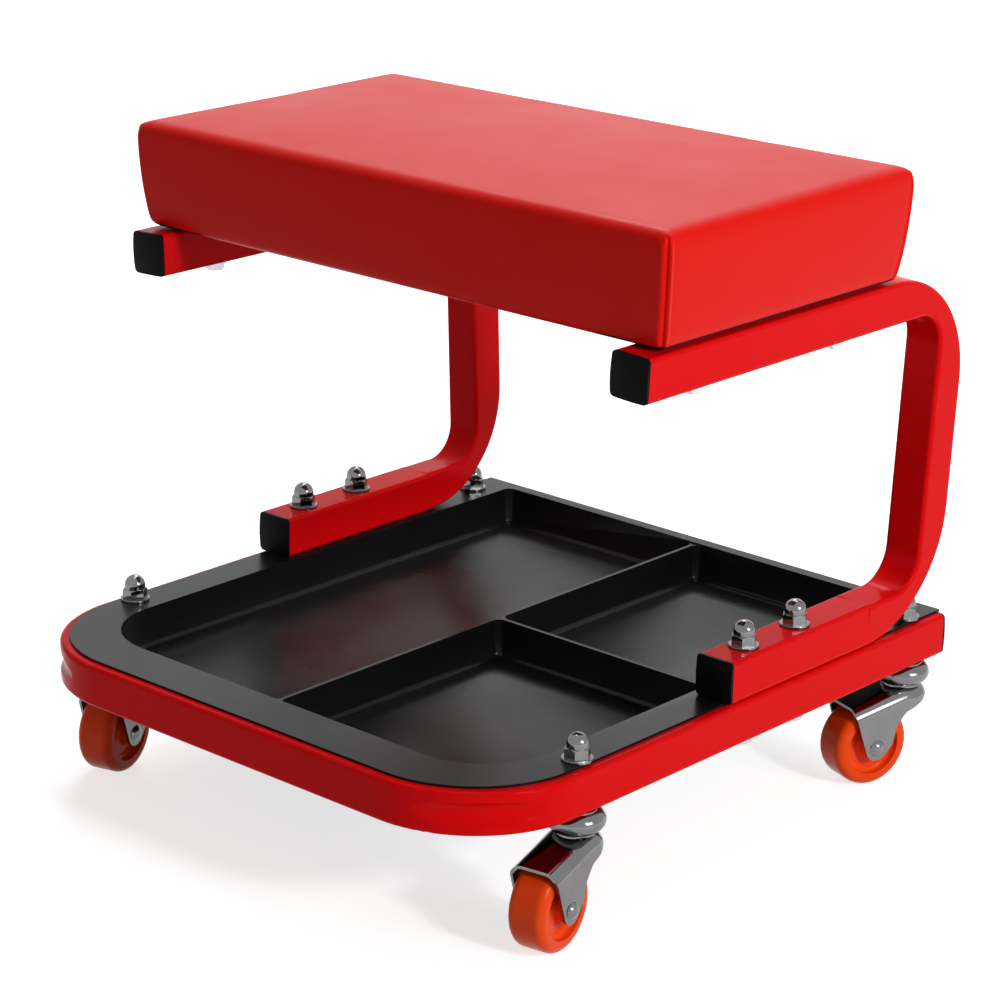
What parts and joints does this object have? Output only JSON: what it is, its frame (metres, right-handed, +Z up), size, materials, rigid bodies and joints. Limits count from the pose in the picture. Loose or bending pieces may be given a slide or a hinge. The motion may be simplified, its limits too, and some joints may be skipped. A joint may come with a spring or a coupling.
{
  "type": "creeper seat",
  "caption": "Low padded stool on a bent tube frame with an open tool tray, C-shaped side arms and swivel casters.",
  "frame": {"origin": "on the floor under the middle of the whole object", "axes": "+Z up; -Y towards the closed front of the base, where the side arms are open; +X to the side of the tray that has two compartments"},
  "size_m": [0.3956, 0.413, 0.3825],
  "materials": {
    "red_paint": "gloss",
    "tray_plastic": "gloss",
    "black_plastic": "satin",
    "bright_steel": "polished",
    "zinc_steel": "satin",
    "plywood": "raw",
    "foam": "matte",
    "red_vinyl": "satin",
    "orange_plastic": "gloss"
  },
  "bodies": {
    "frame": {"base_frame": "red_paint", "rail_end_caps": "black_plastic", "tray": "tray_plastic", "left_side_arm": "red_paint", "right_side_arm": "red_paint", "top_arm_caps": "black_plastic", "lower_arm_caps": "black_plastic", "arm_bolts": "zinc_steel", "arm_washers": "bright_steel", "arm_dome_nuts": "bright_steel", "caster_washers": "bright_steel", "caster_dome_nuts": "bright_steel", "seat_board": "plywood", "seat_foam": "foam", "seat_cover": "red_vinyl", "seat_bolts": "zinc_steel", "seat_bolt_washers": "zinc_steel", "seat_t_nuts": "zinc_steel", "front_left_stem": "zinc_steel", "front_left_raceway_cup": "bright_steel", "front_left_balls": "zinc_steel", "front_right_stem": "zinc_steel", "front_right_raceway_cup": "bright_steel", "front_right_balls": "zinc_steel", "rear_left_stem": "zinc_steel", "rear_left_raceway_cup": "bright_steel", "rear_left_balls": "zinc_steel", "rear_right_stem": "zinc_steel", "rear_right_raceway_cup": "bright_steel", "rear_right_balls": "zinc_steel"},
    "front_left_swivel_fork": {"front_left_fork": "bright_steel", "front_left_axle": "bright_steel"},
    "front_left_rolling_wheel": {"front_left_wheel": "orange_plastic", "front_left_bush": "zinc_steel"},
    "front_right_swivel_fork": {"front_right_fork": "bright_steel", "front_right_axle": "bright_steel"},
    "front_right_rolling_wheel": {"front_right_wheel": "orange_plastic", "front_right_bush": "zinc_steel"},
    "rear_left_swivel_fork": {"rear_left_fork": "bright_steel", "rear_left_axle": "bright_steel"},
    "rear_left_rolling_wheel": {"rear_left_wheel": "orange_plastic", "rear_left_bush": "zinc_steel"},
    "rear_right_swivel_fork": {"rear_right_fork": "bright_steel", "rear_right_axle": "bright_steel"},
    "rear_right_rolling_wheel": {"rear_right_wheel": "orange_plastic", "rear_right_bush": "zinc_steel"}
  },
  "joints": [
    {"name": "front_left_swivel", "type": "hinge", "parent": "frame", "child": "front_left_swivel_fork", "pos_m": [-0.1745, -0.1185, 0.0587], "axis": [0, 0, 1], "continuous": true},
    {"name": "front_left_wheel_spin", "type": "hinge", "parent": "front_left_swivel_fork", "child": "front_left_rolling_wheel", "pos_m": [-0.16733, -0.14349, 0.025], "axis": [0.9613, 0.2756, 0], "continuous": true},
    {"name": "front_right_swivel", "type": "hinge", "parent": "frame", "child": "front_right_swivel_fork", "pos_m": [0.1745, -0.1185, 0.0587], "axis": [0, 0, 1], "continuous": true},
    {"name": "front_right_wheel_spin", "type": "hinge", "parent": "front_right_swivel_fork", "child": "front_right_rolling_wheel", "pos_m": [0.17857, -0.14418, 0.025], "axis": [0.9877, 0.1564, 0], "continuous": true},
    {"name": "rear_left_swivel", "type": "hinge", "parent": "frame", "child": "rear_left_swivel_fork", "pos_m": [-0.1745, 0.1805, 0.0587], "axis": [0, 0, 1], "continuous": true},
    {"name": "rear_left_wheel_spin", "type": "hinge", "parent": "rear_left_swivel_fork", "child": "rear_left_rolling_wheel", "pos_m": [-0.17857, 0.15482, 0.025], "axis": [0.9877, -0.1564, 0], "continuous": true},
    {"name": "rear_right_swivel", "type": "hinge", "parent": "frame", "child": "rear_right_swivel_fork", "pos_m": [0.1745, 0.1805, 0.0587], "axis": [0, 0, 1], "continuous": true},
    {"name": "rear_right_wheel_spin", "type": "hinge", "parent": "rear_right_swivel_fork", "child": "rear_right_rolling_wheel", "pos_m": [0.16604, 0.15592, 0.025], "axis": [0.9455, -0.3256, 0], "continuous": true}
  ]
}
